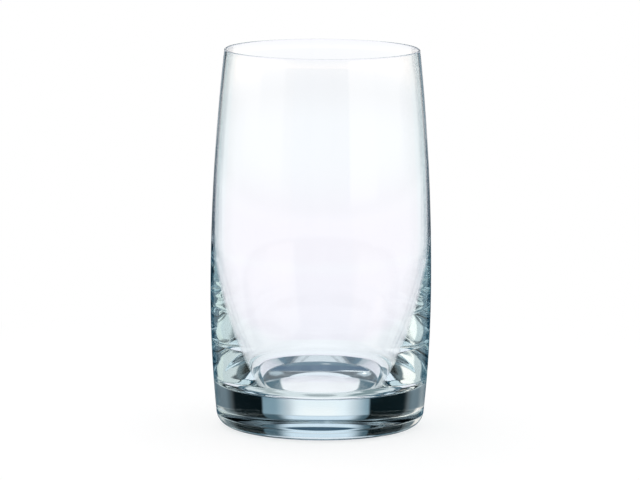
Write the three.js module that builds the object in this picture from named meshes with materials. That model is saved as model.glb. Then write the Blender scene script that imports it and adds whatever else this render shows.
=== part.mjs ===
// A clear crystal tumbler with a heavy base. The real object is one piece of blown glass,
// so the model is one revolved profile: underside, heel, outer wall, lip, bore, bowl, floor.
// Millimetres, +Z up, origin on the table at the middle of the foot.
import * as THREE from "three";

// Driving dimensions
const HEIGHT = 120; // table to the top of the lip
const RIM_DIAMETER = 61.8; // outside, where the lip starts
const BELLY_DIAMETER = 70; // outside, at the widest place
const BELLY_HEIGHT = 43.7; // height of the widest place above the table
const FOOT_DIAMETER = 65; // where the outer wall's curve would meet the table
const HEEL_RADIUS = 4.9; // rounding between the outer wall and the standing ring
const RIM_WALL = 0.8; // glass at the lip
const BOWL_WALL = 0.8; // glass at the widest place of the bowl
const BOWL_WIDEST_HEIGHT = 60; // height of the bowl's widest place above the table
const BOWL_FLOOR_DIAMETER = 45.4; // where the bowl's wall would meet the level of its floor
const BOWL_CORNER_RADIUS = 6; // rounding between the bowl's wall and its floor
const FLOOR_DISH = 1.85; // how much lower the bowl's floor is in the middle than at its edge
const BASE_THICKNESS = 8; // glass between the bowl's lowest point and the punt
const RING_WIDTH = 6.5; // flat standing ring between the heel and the punt
const PUNT_DEPTH = 3; // hollow under the base, at its middle

// How finely the round surfaces are cut into flat faces
const FACET_DEPTH = 0.03; // most that a face may stand off the true curve along the profile
const TURN_STEPS = 72; // faces round the glass

// Points on an arc about (r, z), by angle from straight out towards straight up. A negative
// radius turns the arc's hollow side to the outside.
function arc(r, z, radius, from, to) {
  const steps = Math.ceil(Math.abs(to - from) * Math.sqrt(Math.abs(radius) / (8 * FACET_DEPTH)));
  const points = [];
  for (let i = 0; i <= steps; i++) {
    const angle = THREE.MathUtils.lerp(from, to, i / steps);
    points.push(new THREE.Vector2(r + radius * Math.cos(angle), z + radius * Math.sin(angle)));
  }
  return points;
}

// Radius of the arc that leaves a wall's widest place straight up or down, and has come in by
// inset once it has risen or dropped by rise.
function bulge(inset, rise) {
  const sideways = inset || 1e-6; // a straight wall is an arc of enormous radius
  return (rise * rise + sideways * sideways) / (2 * sideways);
}

// Outer wall: two arcs that meet upright at the belly
const bellyRadius = BELLY_DIAMETER / 2;
const lipRadius = RIM_WALL / 2;
const upperBulge = bulge(bellyRadius - RIM_DIAMETER / 2, HEIGHT - lipRadius - BELLY_HEIGHT);
const lowerBulge = bulge(bellyRadius - FOOT_DIAMETER / 2, BELLY_HEIGHT);
const outerRadiusAt = (z) => {
  const curve = z > BELLY_HEIGHT ? upperBulge : lowerBulge;
  return bellyRadius - curve + curve * Math.cos(Math.asin((z - BELLY_HEIGHT) / curve));
};

// Heel: tangent to the lower arc and to the table
const heelAngle = Math.asin((HEEL_RADIUS - BELLY_HEIGHT) / (lowerBulge - HEEL_RADIUS));
const heelCentre = bellyRadius - lowerBulge + (lowerBulge - HEEL_RADIUS) * Math.cos(heelAngle);

// Punt: a shallow dome inside the standing ring
const puntRadius = heelCentre - RING_WIDTH;
const puntBulge = bulge(PUNT_DEPTH, puntRadius);
const puntAngle = Math.asin(puntRadius / puntBulge);

// Lip: a round edge, leaning with the wall that it ends
const lean = Math.asin((HEIGHT - lipRadius - BELLY_HEIGHT) / upperBulge);
const lipCentre = RIM_DIAMETER / 2 - lipRadius * Math.cos(lean);
const lipCentreHeight = HEIGHT - lipRadius;
const lipInside = lipCentre - lipRadius * Math.cos(lean);
const lipInsideHeight = lipCentreHeight - lipRadius * Math.sin(lean);

// Bowl: an arc from the lip down to its widest place, where the wall is upright, and a tighter
// arc below that, which draws the wall in towards a floor that is almost flat
const bowlRadius = outerRadiusAt(BOWL_WIDEST_HEIGHT) - BOWL_WALL;
const boreRise = lipInsideHeight - BOWL_WIDEST_HEIGHT;
const boreBulge = bulge(bowlRadius - lipInside, boreRise);
const boreAngle = Math.asin(boreRise / boreBulge);
const bowlFloor = PUNT_DEPTH + BASE_THICKNESS;
const floorRadius = BOWL_FLOOR_DIAMETER / 2;
const taperBulge = bulge(bowlRadius - floorRadius, BOWL_WIDEST_HEIGHT - bowlFloor);
const dishBulge = bulge(FLOOR_DISH, floorRadius);

// Corner of the bowl: its circle touches the wall's arc and the floor's arc from inside, so its
// centre is nearer to each of their centres than their own radius, by the corner's radius
const taperCentre = new THREE.Vector2(bowlRadius - taperBulge, BOWL_WIDEST_HEIGHT);
const dishCentre = new THREE.Vector2(0, bowlFloor + dishBulge);
const toTaper = taperBulge - BOWL_CORNER_RADIUS;
const toDish = dishBulge - BOWL_CORNER_RADIUS;
const apart = taperCentre.distanceTo(dishCentre);
const along = (toTaper ** 2 - toDish ** 2 + apart ** 2) / (2 * apart);
const aside = Math.sqrt(toTaper ** 2 - along ** 2);
const way = dishCentre.clone().sub(taperCentre).divideScalar(apart);
const cornerCentre = new THREE.Vector2(
  taperCentre.x + along * way.x + aside * way.y,
  taperCentre.y + along * way.y - aside * way.x,
);
const taperAngle = cornerCentre.clone().sub(taperCentre).angle() - 2 * Math.PI;
const dishAngle = cornerCentre.clone().sub(dishCentre).angle() - 2 * Math.PI;

const RIGHT_ANGLE = Math.PI / 2;
const outline = [
  ...arc(0, PUNT_DEPTH - puntBulge, puntBulge, RIGHT_ANGLE, RIGHT_ANGLE - puntAngle),
  ...arc(heelCentre, HEEL_RADIUS, HEEL_RADIUS, -RIGHT_ANGLE, heelAngle),
  ...arc(bellyRadius - lowerBulge, BELLY_HEIGHT, lowerBulge, heelAngle, 0),
  ...arc(bellyRadius - upperBulge, BELLY_HEIGHT, upperBulge, 0, lean),
  ...arc(lipCentre, lipCentreHeight, lipRadius, lean, Math.PI + lean),
  ...arc(bowlRadius - boreBulge, BOWL_WIDEST_HEIGHT, boreBulge, boreAngle, 0),
  ...arc(taperCentre.x, taperCentre.y, taperBulge, 0, taperAngle),
  ...arc(cornerCentre.x, cornerCentre.y, BOWL_CORNER_RADIUS, taperAngle, dishAngle),
  ...arc(dishCentre.x, dishCentre.y, dishBulge, dishAngle, -RIGHT_ANGLE),
];

// Neighbouring arcs share an end, so the second of two equal points is left out. The first and
// last points lie on the axis, which rounding may miss by a hair.
const profile = outline.filter((point, i) => i === 0 || point.distanceTo(outline[i - 1]) > 1e-3);
profile[0].x = 0;
profile[profile.length - 1].x = 0;

const crystal = new THREE.MeshStandardMaterial({
  color: 0xe9f2f5,
  roughness: 0.02,
  metalness: 0,
  transparent: true,
  opacity: 0.35,
});

const glass = new THREE.Mesh(new THREE.LatheGeometry(profile, TURN_STEPS), crystal);
glass.name = "glass_body";
glass.rotation.x = RIGHT_ANGLE; // a lathe turns about +Y, and the tumbler stands along +Z

const tumbler = new THREE.Group();
tumbler.add(glass);

export default tumbler;
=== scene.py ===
# %% [markdown]
# # A crystal tumbler
# A plain clear tumbler has no colour and no print. Everything that the eye reads as "glass" comes from
# three things: the exact curve of its two skins, the faint tint of the glass in the thick base, and what
# the room around it looks like. The lesson takes them in that order.
#
# The frame comes first. It holds the solid that was made for this glass, in metres, with the foot on the
# table at the origin.

# %% The frame
import math
import bpy
import numpy as np
from mathutils import Matrix, Vector


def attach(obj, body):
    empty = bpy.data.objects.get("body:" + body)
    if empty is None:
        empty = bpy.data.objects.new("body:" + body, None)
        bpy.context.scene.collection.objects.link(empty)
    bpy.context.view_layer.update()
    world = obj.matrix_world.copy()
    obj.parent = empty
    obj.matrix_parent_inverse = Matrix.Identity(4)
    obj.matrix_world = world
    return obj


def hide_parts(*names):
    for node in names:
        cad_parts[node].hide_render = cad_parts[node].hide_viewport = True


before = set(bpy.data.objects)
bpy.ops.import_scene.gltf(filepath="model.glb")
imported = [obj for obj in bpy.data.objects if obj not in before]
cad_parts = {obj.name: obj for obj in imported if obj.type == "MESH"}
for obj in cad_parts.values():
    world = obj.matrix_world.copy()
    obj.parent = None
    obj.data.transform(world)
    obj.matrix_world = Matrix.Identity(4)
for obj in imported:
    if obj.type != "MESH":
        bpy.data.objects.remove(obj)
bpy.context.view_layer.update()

# %% [markdown]
# ## The camera
# The photograph is taken from a little above the rim with a long lens, so the walls hardly converge. The
# outline of the glass gave the distance, the tilt and the focal length. The picture is 640 by 480, and the
# focal length in pixels turns into millimetres on a sensor 36 mm wide.

# %% Camera
PICTURE_WIDTH = 640  # pixels
SENSOR_WIDTH = 36  # mm
FOCAL_PIXELS = 4751.5
RIGHT_OF_MIDDLE = 1.079  # pixels from the middle of the picture to the middle of the glass
ABOVE_MIDDLE = 2.691
CAMERA_DISTANCE = 1.5053  # metres
CAMERA_TILT = math.radians(8.358)
CAMERA_ROLL = math.radians(0.365)
GLASS_MIDDLE = Vector((0, 0, 0.060))
PIXELS_PER_METRE = FOCAL_PIXELS / CAMERA_DISTANCE

ahead = Vector((0, math.cos(CAMERA_TILT), -math.sin(CAMERA_TILT)))
sideways = Vector((1, 0, 0))
upwards = sideways.cross(ahead)
aim = GLASS_MIDDLE - (sideways * RIGHT_OF_MIDDLE + upwards * ABOVE_MIDDLE) / PIXELS_PER_METRE

lens = bpy.data.cameras.new("long_lens")
lens.sensor_fit = "HORIZONTAL"
lens.sensor_width = SENSOR_WIDTH
lens.lens = FOCAL_PIXELS / PICTURE_WIDTH * SENSOR_WIDTH
camera = bpy.data.objects.new("camera", lens)
bpy.context.scene.collection.objects.link(camera)
standpoint = Matrix.Translation(aim - ahead * CAMERA_DISTANCE)
stance = Matrix((sideways, upwards, -ahead)).transposed().to_4x4()
camera.matrix_world = standpoint @ stance @ Matrix.Rotation(CAMERA_ROLL, 4, "Z")
bpy.context.scene.camera = camera
print("camera", [round(c, 3) for c in camera.matrix_world.translation], "lens", round(lens.lens, 1), "mm")

# %% [markdown]
# ## The two skins of the glass
# A tumbler like this is turned in a mould, so its section is a chain of arcs that run into each other: the
# punt under the base, the flat standing ring, the heel, the barrel-shaped outside, the lip, the bore, the
# tapering bowl, its rounded corner and the almost flat floor. Points on each arc are enough, because a
# revolved chain of arcs has no corner that needs a bevel. The sizes are the solid's own, in millimetres,
# apart from the last one, which only the dressed glass has.

# %% Sizes
HEIGHT = 120
RIM_DIAMETER = 61.8
BELLY_DIAMETER = 70
BELLY_HEIGHT = 43.7
FOOT_DIAMETER = 65
HEEL_RADIUS = 4.9
RIM_WALL = 0.8
BOWL_WALL = 0.8
BOWL_WIDEST_HEIGHT = 60
BOWL_FLOOR_DIAMETER = 45.4
BOWL_CORNER_RADIUS = 6
FLOOR_DISH = 1.85
BASE_THICKNESS = 8
RING_WIDTH = 6.5
PUNT_DEPTH = 3
PUNT_EDGE_RADIUS = 3  # fire polish softens the edge between the ring and the punt


def bulge(inset, rise):
    """Radius of an arc that leaves a wall upright and has come in by inset after rising by rise."""
    return (rise ** 2 + inset ** 2) / (2 * inset)


def arc(centre, radius, start, end, points):
    """Points on an arc, from one angle to another."""
    turns = np.linspace(start, end, points)
    return np.stack([centre[0] + radius * np.cos(turns), centre[1] + radius * np.sin(turns)], 1)


belly = BELLY_DIAMETER / 2
lip = RIM_WALL / 2
upper_bulge = bulge(belly - RIM_DIAMETER / 2, HEIGHT - lip - BELLY_HEIGHT)
lower_bulge = bulge(belly - FOOT_DIAMETER / 2, BELLY_HEIGHT)
heel_turn = math.asin((HEEL_RADIUS - BELLY_HEIGHT) / (lower_bulge - HEEL_RADIUS))
heel_centre = belly - lower_bulge + (lower_bulge - HEEL_RADIUS) * math.cos(heel_turn)
lean = math.asin((HEIGHT - lip - BELLY_HEIGHT) / upper_bulge)
print("heel circle", round(heel_centre, 2), "mm off the axis")
print("wall at the rim leans", round(math.degrees(lean), 1), "degrees")

# %% [markdown]
# The outside is the first half of the chain. The punt's dome and the standing ring meet at a shallow angle,
# and a small arc between them stands for the polish that every real foot has.

# %% Outside
QUARTER = math.pi / 2
punt_radius = heel_centre - RING_WIDTH
punt_bulge = bulge(PUNT_DEPTH, punt_radius)
punt_low = PUNT_DEPTH - punt_bulge
polish_radius = math.sqrt((punt_bulge + PUNT_EDGE_RADIUS) ** 2 - (PUNT_EDGE_RADIUS - punt_low) ** 2)
polish_turn = math.atan2(PUNT_EDGE_RADIUS - punt_low, polish_radius)
polish_centre = (polish_radius, PUNT_EDGE_RADIUS)

outside = [
    arc((0, punt_low), punt_bulge, QUARTER, polish_turn, points=18),
    arc(polish_centre, PUNT_EDGE_RADIUS, polish_turn + math.pi, 3 * QUARTER, points=6),
    arc((heel_centre, HEEL_RADIUS), HEEL_RADIUS, -QUARTER, heel_turn, points=28),
    arc((belly - lower_bulge, BELLY_HEIGHT), lower_bulge, heel_turn, 0, points=32),
    arc((belly - upper_bulge, BELLY_HEIGHT), upper_bulge, 0, lean, points=28),
]
print("punt reaches", round(punt_radius, 2), "mm from the axis and", PUNT_DEPTH, "mm up")

# %% [markdown]
# The inside is the second half. The bowl is widest at one height, where its wall stands upright, and an arc
# leads from there up to the lip and another one down to the floor.

# %% Bowl
lip_centre = RIM_DIAMETER / 2 - lip * math.cos(lean)
lip_inside = lip_centre - lip * math.cos(lean)
lip_inside_height = HEIGHT - lip - lip * math.sin(lean)


def outer_radius(height):
    """Radius of the outside at a height above the table."""
    curve = upper_bulge if height > BELLY_HEIGHT else lower_bulge
    return belly - curve + math.sqrt(curve ** 2 - (height - BELLY_HEIGHT) ** 2)


bowl_radius = outer_radius(BOWL_WIDEST_HEIGHT) - BOWL_WALL
bore_rise = lip_inside_height - BOWL_WIDEST_HEIGHT
bore_bulge = bulge(bowl_radius - lip_inside, bore_rise)
bore_turn = math.asin(bore_rise / bore_bulge)
floor_height = PUNT_DEPTH + BASE_THICKNESS
taper_bulge = bulge(bowl_radius - BOWL_FLOOR_DIAMETER / 2, BOWL_WIDEST_HEIGHT - floor_height)
dish_bulge = bulge(FLOOR_DISH, BOWL_FLOOR_DIAMETER / 2)
print("bowl", round(2 * bowl_radius, 2), "mm across where it is widest, floor at", floor_height, "mm")

# %% [markdown]
# The corner of the bowl is a circle that touches the bowl's wall and the floor from inside, so its centre
# lies where two smaller circles about their centres cross. Neighbouring arcs share an end, so the second of
# two equal points is left out. A mark on each point tells the bowl's skin from the outside and the lip.

# %% Corner and whole section
SAME_POINT = 1e-4

taper_centre = np.array([bowl_radius - taper_bulge, BOWL_WIDEST_HEIGHT])
dish_centre = np.array([0, floor_height + dish_bulge])
to_taper = taper_bulge - BOWL_CORNER_RADIUS
to_dish = dish_bulge - BOWL_CORNER_RADIUS
apart = np.linalg.norm(dish_centre - taper_centre)
way = (dish_centre - taper_centre) / apart
along = (to_taper ** 2 - to_dish ** 2 + apart ** 2) / (2 * apart)
aside = math.sqrt(to_taper ** 2 - along ** 2)
corner_centre = taper_centre + along * way + aside * np.array([way[1], -way[0]])
taper_turn = math.atan2(*(corner_centre - taper_centre)[::-1])
dish_turn = math.atan2(*(corner_centre - dish_centre)[::-1])

lip_edge = [arc((lip_centre, HEIGHT - lip), lip, lean, math.pi + lean, points=16)]
bowl = [
    arc((bowl_radius - bore_bulge, BOWL_WIDEST_HEIGHT), bore_bulge, bore_turn, 0, points=28),
    arc(taper_centre, taper_bulge, 0, taper_turn, points=60),
    arc(corner_centre, BOWL_CORNER_RADIUS, taper_turn, dish_turn, points=30),
    arc(dish_centre, dish_bulge, dish_turn, -QUARTER, points=24),
]
section = np.concatenate(outside + lip_edge + bowl)
in_bowl = np.arange(len(section)) >= len(np.concatenate(outside + lip_edge))
fresh = np.append(True, np.linalg.norm(np.diff(section, axis=0), axis=1) > SAME_POINT)
section = section[fresh]
in_bowl = in_bowl[fresh]
print("section", len(section), "points,", int(in_bowl.sum()), "of them in the bowl")

# %% [markdown]
# ## The body
# Each point of the section becomes a ring, and the two ends on the axis stay single points. The rings are
# kept as tables of radius, height and angle, so that a formula can still move every point. The steps round
# the axis are so fine that neither the outline nor the bent light shows a corner.

# %% Rings of points
TURN_STEPS = 360

turn = np.arange(TURN_STEPS) * 2 * math.pi / TURN_STEPS
radius = np.repeat(section[1:-1, :1], TURN_STEPS, 1)
height = np.repeat(section[1:-1, 1:], TURN_STEPS, 1)
angle = np.repeat(turn[None], len(section) - 2, 0)
inner = in_bowl[1:-1, None].astype(float)
print("rings", len(radius), "of", TURN_STEPS, "points")

# %% [markdown]
# A lathe would give two perfect skins. In the hand, though, the inside of a blown bowl is never quite true.
# Low on one side, where the glass is thick and cools last, shallow folds lie across it and break the view
# through the wall into dark and bright blocks. Round the edge of the floor, fine ripples do the same. They
# are a few hundredths of a millimetre deep. A Bump node could fake them, but the mesh itself would stay
# smooth, so they go into the points, as sums of waves that fade out towards the thin bore.

# %% Folds and ripples
FOLD_DEPTH = 0.05  # mm
FOLD_BEARING = 3.13  # radians round the axis, at the left of the picture
FOLD_WIDTH = 0.13
FOLD_LOW_END = (12, 17)  # mm above the table, from no folds to full ones
FOLD_HIGH_END = (62, 54)
FOLD_OFF_FLOOR = (24, 28)  # mm from the axis
RIPPLE_DEPTH = 0.012  # mm
FINE_RIPPLE_DEPTH = 0.008
RIPPLE_HIGH_END = (15, 13)  # mm above the table
FLOOR_EDGE = 19  # mm from the axis
FLOOR_EDGE_WIDTH = 2.5


def hump(value, middle, width):
    """1 in the middle, and less on both sides."""
    return np.exp(-((value - middle) / width) ** 2)


def ramp(value, start, full):
    """0 at start, 1 at full, straight between."""
    return np.clip((value - start) / (full - start), 0, 1)


left_edge = hump(angle, FOLD_BEARING, FOLD_WIDTH)
left_edge = left_edge * ramp(height, *FOLD_LOW_END) * ramp(height, *FOLD_HIGH_END)
folds = np.sin(0.75 * height + 1.1 * np.sin(0.31 * height + 1)) + 0.35 * np.sin(1.6 * height + 0.9)
wave = FOLD_DEPTH * folds * left_edge * inner * ramp(radius, *FOLD_OFF_FLOOR)

floor_edge = hump(radius, FLOOR_EDGE, FLOOR_EDGE_WIDTH) * ramp(height, *RIPPLE_HIGH_END) * inner
ripples = RIPPLE_DEPTH * np.sin(19 * angle + 1.3 * np.sin(4 * angle))
ripples = ripples + FINE_RIPPLE_DEPTH * np.sin(31 * angle + 0.5 * height)
wave = wave + ripples * floor_edge
radius = radius + wave
print("largest wave", round(float(np.abs(wave).max()), 4), "mm")

# %% [markdown]
# Quads join neighbouring rings, and a fan of triangles closes the mesh on the axis at each end. A Screw
# modifier could turn the section too, but its rings would be true circles, without the folds. The faces are
# shaded smooth, because bent light shows every facet. The glass rides on the part's one body and takes the
# place of its solid.

# %% Faces
MILLIMETRES_PER_METRE = 1000

points = np.stack([radius * np.cos(angle), radius * np.sin(angle), height], 2).reshape(-1, 3)
axis_start = [[0, 0, section[0, 1]]]
axis_end = [[0, 0, section[-1, 1]]]
points = np.concatenate([axis_start, points, axis_end]) / MILLIMETRES_PER_METRE

steps = np.arange(TURN_STEPS)
pairs = list(zip(steps.tolist(), np.roll(steps, -1).tolist()))
faces = [(0, 1 + b, 1 + a) for a, b in pairs]
for row in range(len(radius) - 1):
    low = 1 + row * TURN_STEPS
    high = low + TURN_STEPS
    faces += [(low + a, low + b, high + b, high + a) for a, b in pairs]
last = 1 + (len(radius) - 1) * TURN_STEPS
faces += [(last + a, last + b, len(points) - 1) for a, b in pairs]

mesh = bpy.data.meshes.new("tumbler_glass")
mesh.from_pydata(points.tolist(), [], faces)
mesh.polygons.foreach_set("use_smooth", np.ones(len(mesh.polygons), bool))
mesh.update()
tumbler = bpy.data.objects.new("tumbler_glass", mesh)
bpy.context.scene.collection.objects.link(tumbler)
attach(tumbler, "root")
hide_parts("glass_body")
print("body", len(mesh.vertices), "points", len(mesh.polygons), "faces")

# %% [markdown]
# ## Shader maths in Python
# Node trees are easier to follow as expressions. One small class holds an output socket. The operators on
# it add Math nodes, and one method makes any other node from its type, its settings and its inputs.

# %% Wires
class Wire:
    """An output socket, or a bare node tree, on which shader maths can be written as Python."""

    def __init__(self, tree, socket=None):
        self.tree = tree
        self.socket = socket

    def node(self, kind, settings=None, inputs=None, out=0):
        made = self.tree.nodes.new("ShaderNode" + kind)
        for name, value in (settings or {}).items():
            setattr(made, name, value)
        for name, value in (inputs or {}).items():
            if isinstance(value, Wire):
                self.tree.links.new(value.socket, made.inputs[name])
            else:
                made.inputs[name].default_value = value
        return Wire(self.tree, made.outputs[out])

    def maths(self, operation, *values):
        return self.node("Math", {"operation": operation}, dict(enumerate(values)))

    def __add__(self, other):
        return self.maths("ADD", self, other)

    def __radd__(self, other):
        return self.maths("ADD", other, self)

    def __sub__(self, other):
        return self.maths("SUBTRACT", self, other)

    def __rsub__(self, other):
        return self.maths("SUBTRACT", other, self)

    def __mul__(self, other):
        return self.maths("MULTIPLY", self, other)

    def __rmul__(self, other):
        return self.maths("MULTIPLY", other, self)

    def rise(self, low, high):
        """0 below low, 1 above high, smooth between."""
        return self.node("MapRange", {"interpolation_type": "SMOOTHSTEP"}, {0: self, 1: low, 2: high})

    def span(self, low, high, soft):
        """1 between low and high, with soft edges."""
        return self.rise(low - soft, low + soft) * (1 - self.rise(high - soft, high + soft))

    def towards(self, colour, share):
        """This colour mixed with another one, by a share from 0 to 1."""
        return self.node("Mix", {"data_type": "RGBA"}, {0: share, 6: self, 7: colour}, out=2)


def fresh_tree(owner):
    """The emptied node tree of a material or a world."""
    owner.use_nodes = True
    owner.node_tree.nodes.clear()
    return Wire(owner.node_tree)


# %% [markdown]
# ## Crystal
# Clear crystal has an index of 1.517 and swallows a trace of red, which the eye sees only in the thick base
# and along the edges. That tint belongs in the volume and not on the surface, because then it grows with
# the length of glass that the light has crossed. The surface is fire-polished, with the faintest haze where
# hands and cloths have been. Shadow rays pass straight through, because the table would otherwise wait in
# vain for light that a path tracer can hardly find behind two curved skins.

# %% Crystal material
HAZE_ROUGHNESS = 0.012
HAZE_RANGE = (0.52, 0.78)  # noise below it is bare polish

crystal = bpy.data.materials.new("clear_crystal")
wires = fresh_tree(crystal)
place = wires.node("TexCoord", out="Object")
haze = wires.node("TexNoise", {"noise_dimensions": "3D"}, {"Vector": place, "Scale": 55, "Detail": 3})
glass = wires.node("BsdfPrincipled", None, {
    "Base Color": (1, 1, 1, 1),
    "Roughness": haze.rise(*HAZE_RANGE) * HAZE_ROUGHNESS,
    "IOR": 1.517,
    "Transmission Weight": 1,
})
passing = wires.node("BsdfTransparent", None, {"Color": (0.96, 0.98, 0.985, 1)})
shadow = wires.node("LightPath", out="Is Shadow Ray")
skin = wires.node("MixShader", None, {0: shadow, 1: glass, 2: passing})
tint = wires.node("VolumeAbsorption", None, {"Color": (0.10, 0.70, 0.88, 1), "Density": 3.4})
finish = wires.tree.nodes.new("ShaderNodeOutputMaterial")
wires.tree.links.new(skin.socket, finish.inputs["Surface"])
wires.tree.links.new(tint.socket, finish.inputs["Volume"])
mesh.materials.append(crystal)
print("crystal", len(crystal.node_tree.nodes), "nodes")

# %% [markdown]
# ## The table
# The glass stands on a plain white table. Near the foot it shows the soft shadow that makes the glass stand
# and not float, and further out it is as white as the backdrop. The glass itself looks past the table at
# the studio, as it does in a picture that was taken on a lit glass plate.

# %% Table
TABLE_REACH = 3  # metres
TABLE_TOP = -0.0002  # a hair under the foot, so that the two faces don't flicker
NEAR_GLOW = 0.55  # share of its own white that the table shows beside the foot
SHADOW_END = (0.06, 0.22)  # metres from the axis, where the shadow fades

plate = bpy.data.meshes.new("white_table")
corners = [(-1, -1), (1, -1), (1, 1), (-1, 1)]
plate.from_pydata([(x * TABLE_REACH, y * TABLE_REACH, TABLE_TOP) for x, y in corners], [], [(0, 1, 2, 3)])
table = bpy.data.objects.new("white_table", plate)
bpy.context.scene.collection.objects.link(table)

white = bpy.data.materials.new("white_table")
wires = fresh_tree(white)
where = wires.node("TexCoord", out="Object")
reach = wires.node("VectorMath", {"operation": "LENGTH"}, {0: where}, out="Value")
lit = wires.node("BsdfDiffuse", None, {"Color": (0.9, 0.9, 0.9, 1)})
glow = wires.node("Emission", None, {"Color": (1, 1, 1, 1), "Strength": 1})
clear = wires.node("BsdfTransparent", None, {"Color": (1, 1, 1, 1)})
seen = wires.node("LightPath", out="Is Camera Ray")
spread = wires.node("LightPath", out="Is Diffuse Ray")
own_white = NEAR_GLOW + (1 - NEAR_GLOW) * reach.rise(*SHADOW_END)
near = wires.node("MixShader", None, {0: own_white, 1: lit, 2: glow})
top = wires.node("MixShader", None, {0: wires.maths("MAXIMUM", seen, spread), 1: clear, 2: near})
finish = wires.tree.nodes.new("ShaderNodeOutputMaterial")
wires.tree.links.new(top.socket, finish.inputs["Surface"])
plate.materials.append(white)
print("table", len(white.node_tree.nodes), "nodes")

# %% [markdown]
# ## The studio
# Clear glass is drawn by what it bends into view. Photographers put a lit white panel behind it and black
# cards at both sides of the panel: the panel fills the middle of the glass, and the cards come in at the
# edges and in the base as dark bands. Light walls further round give the grey-green between. The room is
# a world shader here, because then nothing stands in the way when the glass is seen from another side.
#
# Each part of the room is a soft-edged patch, by its bearing from straight behind the glass, positive to the
# right, and its height over the horizon, both in degrees.

# %% Bearings
DEGREES = 180 / math.pi

room = bpy.data.worlds.new("studio")
bpy.context.scene.world = room
wires = fresh_tree(room)
look = wires.node("TexCoord", out="Generated")
x, y, z = [wires.node("SeparateXYZ", None, {0: look}, out=axis) for axis in range(3)]
bearing = wires.maths("ARCTAN2", x, y) * DEGREES
elevation = wires.maths("ARCSINE", z) * DEGREES
off_axis = wires.maths("ABSOLUTE", bearing)
print("bearings", len(room.node_tree.nodes), "nodes")

# %% [markdown]
# A part is a row: its name, whether it stands once or on both sides, its bearings, its heights, how soft its
# edges are in bearing and in height, and its colour. A later row lies over an earlier one, as cards and
# lamps stand before the walls. The walls come first: a pale ceiling, pale sides with dark corners and one
# warm window at the left, and a dark wall behind the camera. What they leave open stays dim.

# %% Walls
ONCE = False
BOTH_SIDES = True
ALL_ROUND = None
WALLS = [
    ("ceiling", ONCE, ALL_ROUND, (68, 100), (1, 3), (0.85, 0.88, 0.92)),
    ("upper far wall", BOTH_SIDES, (163, 200), (22, 58), (6, 3), (0.6, 0.62, 0.65)),
    ("high left wall", ONCE, (-95, -58), (43, 58), (5, 3), (0.6, 0.66, 0.7)),
    ("high right wall", ONCE, (58, 95), (43, 58), (5, 3), (0.42, 0.5, 0.55)),
    ("left side wall", ONCE, (-138, -43), (-4, 19), (5, 3), (0.78, 0.74, 0.7)),
    ("right side wall", ONCE, (43, 138), (-4, 19), (5, 3), (0.8, 0.77, 0.73)),
    ("side corners", BOTH_SIDES, (44, 60), (3, 34), (4, 2), (0.16, 0.19, 0.2)),
    ("low side walls", BOTH_SIDES, (44, 80), (-6, 3), (5, 1), (0.2, 0.25, 0.28)),
    ("low left wall", ONCE, (-84, -64), (-6, 3), (6, 1), (0.46, 0.48, 0.49)),
    ("low left window", ONCE, (-105, -58), (2, 25), (4, 3), (1.45, 1.25, 1.12)),
    ("far wall", BOTH_SIDES, (138, 200), (-5, 20), (5, 2), (0.05, 0.11, 0.15)),
    ("far right corner", ONCE, (118, 150), (-5, 20), (3, 1), (0.95, 0.9, 0.8)),
    ("far right wall", ONCE, (150, 182), (-5, 22), (1, 1), (0.02, 0.05, 0.08)),
]
print("walls", len(WALLS))

# %% [markdown]
# Below the horizon the glass sees a table of its own, which the base and the lower wall gather from. It is
# pale, darker in the middle and in two places at the sides, and bright strips run along its edge.

# %% Table as the glass sees it
TABLE_SEEN = [
    ("table all round", ONCE, ALL_ROUND, (-100, -16), (1, 1), (0.76, 0.83, 0.85)),
    ("far table", BOTH_SIDES, (64, 200), (-44, -15), (5, 3), (0.96, 0.98, 1.0)),
    ("middle of the table", ONCE, ALL_ROUND, (-100, -77), (1, 2), (0.4, 0.46, 0.48)),
    ("left part of the table", ONCE, (-82, -44), (-60, -42), (6, 5), (0.45, 0.52, 0.53)),
    ("right part of the table", ONCE, (40, 88), (-66, -42), (6, 5), (0.24, 0.32, 0.34)),
    ("side strips", BOTH_SIDES, (38, 70), (-16, -6), (2, 1), (0.8, 0.86, 0.85)),
    ("far strips", BOTH_SIDES, (66, 200), (-17, -6), (4, 1), (0.94, 0.97, 0.98)),
]
print("parts of the table", len(TABLE_SEEN))

# %% [markdown]
# The lit panel fills the bowl and the pale middle of the base. Its foot has a touch of lilac, as the lower
# bowl has in the photograph, and its dark borders draw the thin lines along the outline: a ray that grazes
# the wall is thrown 14 to 24 degrees aside. Its dark top edge becomes the ellipse in the foot, and the dark
# stand high over it becomes the arch in the bowl's floor.

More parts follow.
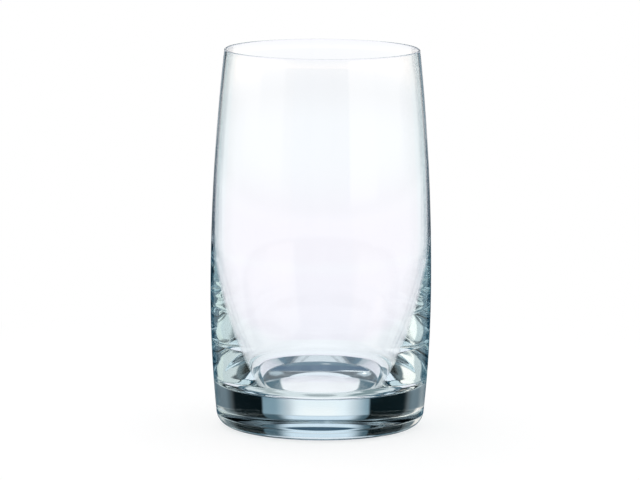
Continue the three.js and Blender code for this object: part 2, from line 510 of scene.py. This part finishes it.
# %% Panel
PANEL = [
    ("sides of the panel", BOTH_SIDES, (12, 26), (-20, 30), (3, 2), (0.26, 0.36, 0.42)),
    ("upper sides of the panel", BOTH_SIDES, (13, 26), (5, 30), (3, 2), (0.08, 0.13, 0.16)),
    ("lit panel", ONCE, (-14, 12.5), (-20, 6), (6, 1), (1.0, 1.02, 1.05)),
    ("panel middle", ONCE, (-7, 8), (-5, 6), (4, 1), (1.12, 1.07, 1.05)),
    ("panel foot", ONCE, (-18, 18), (-16, -8.6), (4, 1.2), (0.98, 0.955, 1.02)),
    ("panel shade", ONCE, (-18, 18), (-6.2, -5.2), (4, 0.6), (0.965, 0.975, 1.0)),
    ("panel borders", BOTH_SIDES, (14, 24), (-11, -5.5), (4, 0.8), (0.03, 0.07, 0.1)),
    ("lower panel", ONCE, (-20, 20), (-58, -15), (1, 1.5), (1.0, 1.02, 1.06)),
    ("front of the table", ONCE, (-19, 19), (-29, -15), (2, 2), (0.985, 0.96, 1.03)),
    ("upper panel", ONCE, (-14, 14), (6, 26), (4, 2), (0.78, 0.86, 0.94)),
    ("panel top edge", ONCE, (-14, 14), (23, 33), (4, 1.5), (0.05, 0.1, 0.15)),
    ("panel head", ONCE, (-17, 17), (33, 44), (3, 2), (0.07, 0.16, 0.23)),
    ("panel stand", ONCE, (-16, 16), (44, 74), (4, 2), (0.03, 0.1, 0.19)),
]
print("parts of the panel", len(PANEL))

# %% [markdown]
# Black cards stand beside the panel and make the two black bands in the base. Their outer edges are soft,
# so that the bands fade towards the outline. Three small lamps before everything else give the glints.

# %% Cards and lamps
BLACK = (0.002, 0.004, 0.004)
CARDS = [
    ("left black card", ONCE, (-36, -19.5), (-5.5, 26), (0.8, 0.8), BLACK),
    ("left card edge", ONCE, (-46, -30), (-5.5, 26), (6, 0.8), BLACK),
    ("right black card", ONCE, (23.5, 36), (-5.5, 27), (0.8, 0.8), BLACK),
    ("right card edge", ONCE, (30, 48), (-5.5, 27), (7, 0.8), BLACK),
    ("card feet", BOTH_SIDES, (21, 39), (-16, -5), (2, 0.8), (0.02, 0.08, 0.12)),
    ("shades", BOTH_SIDES, (20.5, 34), (-46, -20), (0.8, 3), (0.03, 0.12, 0.17)),
]
LAMPS = [
    ("panel lamp", ONCE, (0.4, 1.6), (37.5, 39.5), (0.5, 0.7), (1.1, 1.1, 1.1)),
    ("left lamp", ONCE, (-84, -74), (48, 53), (2, 1.5), (1.7, 1.7, 1.7)),
    ("middle lamp", ONCE, (-15, -7), (58, 68), (2, 2), (1.6, 1.6, 1.6)),
]
print("cards", len(CARDS), "lamps", len(LAMPS))

# %% [markdown]
# The polished skin's reflections are painted apart from the room. Only mirrored rays see these patches,
# which lie over the room and paint the reflections onto the glass. Pale and teal patches paint the soft
# sheen band inside the outline, and black ones paint the line on it. One behind the camera paints the faint
# upright band down the middle, and a dark table paints the table dark in the reflections. Most of their
# edges are soft, because a hard one would look like the level of a drink from the side.

# %% Painted reflections
# painted reflections: sheen bands, a dark line and a dark table that only mirrored rays see
PAINTED_REFLECTIONS = [
    ("table", ONCE, ALL_ROUND, (-100, -11), (1, 4), (0.01, 0.02, 0.025)),
    ("pale painted sheen", BOTH_SIDES, (28, 148), (-8, 7), (2, 6), (0.85, 0.94, 0.95)),
    ("teal painted sheen", BOTH_SIDES, (32, 58), (-9, 7), (4, 5), (0.6, 0.9, 0.95)),
    ("black cards", BOTH_SIDES, (5, 30), (-20, 7), (2, 1), (0.02, 0.07, 0.11)),
    ("front painted sheen", BOTH_SIDES, (148, 200), (-13, 6), (2, 4), (0.6, 0.8, 0.92)),
]
print("painted reflection patches", len(PAINTED_REFLECTIONS))

# %% [markdown]
# The rows become nodes in a loop. Each one is a mask, which is 1 inside the patch and 0 outside it, and a
# Mix node that lays the part's colour over what is there already.

# %% Painted room
def painted(ground, parts):
    """The colour ground with each part laid over it in turn."""
    for part, both_sides, bearings, heights, (soft_bearing, soft_height), colour in parts:
        patch = elevation.span(*heights, soft_height)
        if bearings is not ALL_ROUND:
            patch = patch * (off_axis if both_sides else bearing).span(*bearings, soft_bearing)
        ground = ground.towards((*colour, 1), patch)
    return ground


UPPER_ROOM = (0.06, 0.07, 0.08)
upper_room = wires.node("CombineColor", None, dict(enumerate(UPPER_ROOM)))
room_bent = painted(upper_room, WALLS + TABLE_SEEN + PANEL + CARDS + LAMPS)
room_mirrored = painted(room_bent, PAINTED_REFLECTIONS)
print("painted room", len(room.node_tree.nodes), "nodes")

# %% [markdown]
# The world answers each kind of ray in its own way. The camera sees a plain white backdrop, bent rays see
# the room, mirrored rays see it with the painted reflection patches over it, and the light that falls on the
# table is plain white. Blender counts a bent ray as a glossy one too, so a true reflection is glossy and not
# bent.

# %% Studio light
WHITE = (1, 1, 1)
glossy = wires.node("LightPath", out="Is Glossy Ray")
bent = wires.node("LightPath", out="Is Transmission Ray")
straight = wires.node("LightPath", out="Is Camera Ray")
light = wires.node("CombineColor", None, dict(enumerate(WHITE)))
light = light.towards(room_bent, bent)
light = light.towards(room_mirrored, glossy * (1 - bent))
light = light.towards((*WHITE, 1), straight)
glowing = wires.node("Background", None, {"Color": light, "Strength": 1})
finish = wires.tree.nodes.new("ShaderNodeOutputWorld")
wires.tree.links.new(glowing.socket, finish.inputs["Surface"])
print("studio", len(room.node_tree.nodes), "nodes")

# %% [markdown]
# ## The lamp
# One soft lamp hangs over the glass, a little behind it and to the left. It only lights the table and draws
# the shadow there. The glass doesn't see it, because the glints come from the lamps of the painted room.

# %% Lamp
softbox = bpy.data.lights.new("softbox", "AREA")
softbox.shape = "RECTANGLE"
softbox.size = 0.16
softbox.size_y = 0.12
softbox.energy = 3
lamp = bpy.data.objects.new("softbox", softbox)
bpy.context.scene.collection.objects.link(lamp)
lamp.location = (-0.25, 0.35, 1.1)
lower_glass = Vector((0, 0, 0.03))
lamp.rotation_mode = "QUATERNION"
lamp.rotation_quaternion = (lower_glass - lamp.location).to_track_quat("-Z", "Y")
lamp.visible_camera = False
lamp.visible_glossy = False
lamp.visible_transmission = False
print("lamp", softbox.energy, "W")

# %% [markdown]
# ## Long light paths
# Light that enters a thick wall at a slant is thrown to and fro between its skins many times before it
# comes out. If the paths are cut short, those places turn black, so glass gets more bounces than usual.

# %% Light paths and view
BOUNCES = 32

paths = bpy.context.scene.cycles
paths.max_bounces = BOUNCES
paths.glossy_bounces = BOUNCES
paths.transmission_bounces = BOUNCES
bpy.context.scene.view_settings.view_transform = "Standard"
print("bounces", paths.max_bounces)
